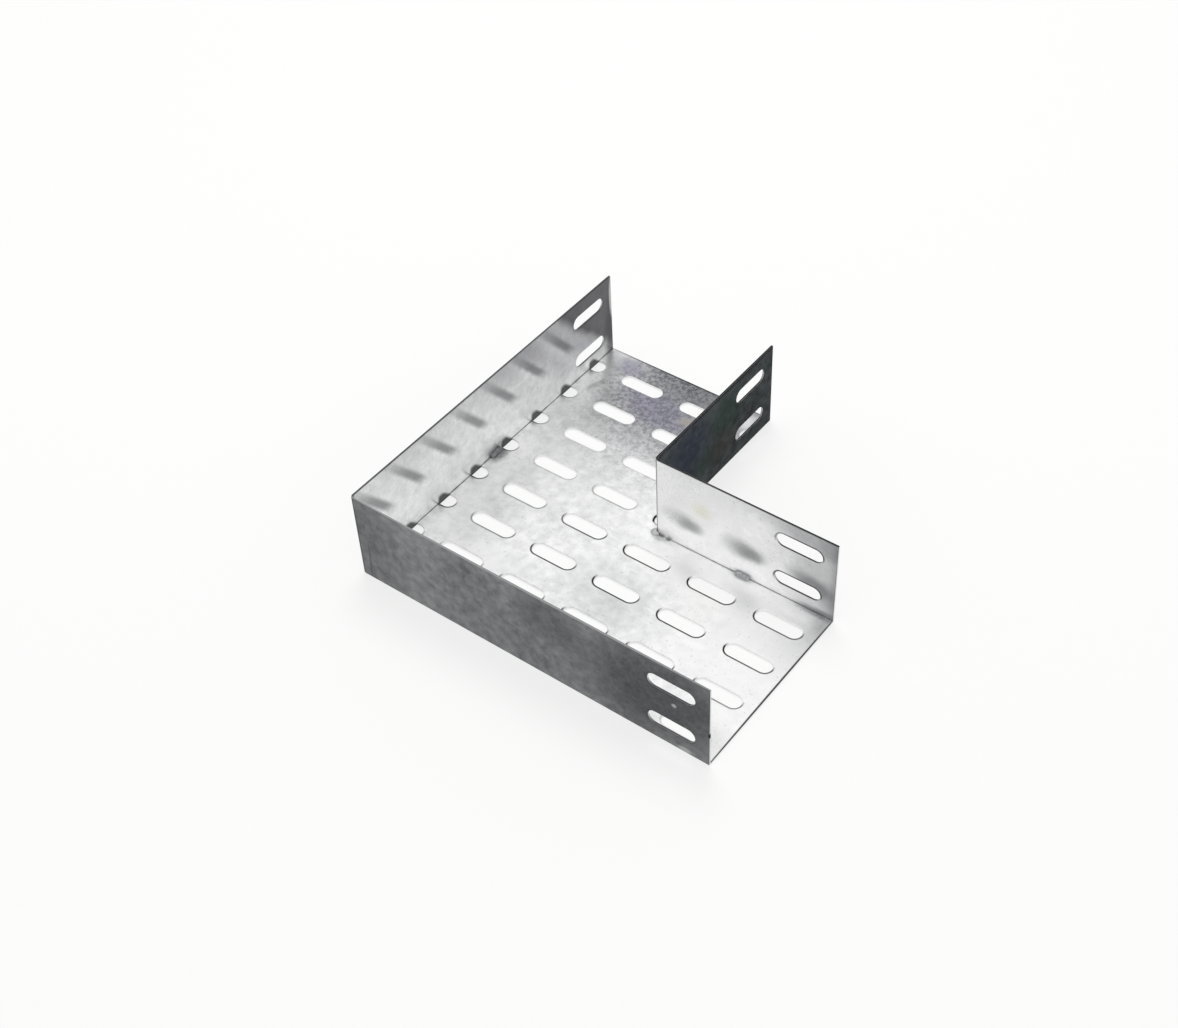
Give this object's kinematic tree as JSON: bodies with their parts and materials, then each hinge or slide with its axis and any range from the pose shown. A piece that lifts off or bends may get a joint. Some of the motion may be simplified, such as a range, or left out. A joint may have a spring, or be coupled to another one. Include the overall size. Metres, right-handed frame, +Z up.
{
  "type": "cable tray bend",
  "caption": "Flat right-angle bend of perforated cable tray in galvanised sheet steel: an L-shaped slotted floor between upright side walls with slotted ends.",
  "frame": {"origin": "where the centre lines of the two arms cross, on the underside of the floor", "axes": "+X along one arm towards its open end, +Y along the other arm towards its open end, +Z up out of the open side of the tray"},
  "size_m": [0.2024, 0.2024, 0.05],
  "materials": {
    "galvanised_sheet": "zinc-coated sheet, semi-gloss and faintly mottled",
    "weld_metal": "dull zinc-sprayed weld"
  },
  "bodies": {
    "root": {"floor_plate": "galvanised_sheet", "outer_side_wall": "galvanised_sheet", "inner_side_wall": "galvanised_sheet", "seam_tack_welds": "weld_metal", "outer_corner_tack_weld": "weld_metal", "inner_corner_tack_weld": "weld_metal"}
  },
  "joints": []
}
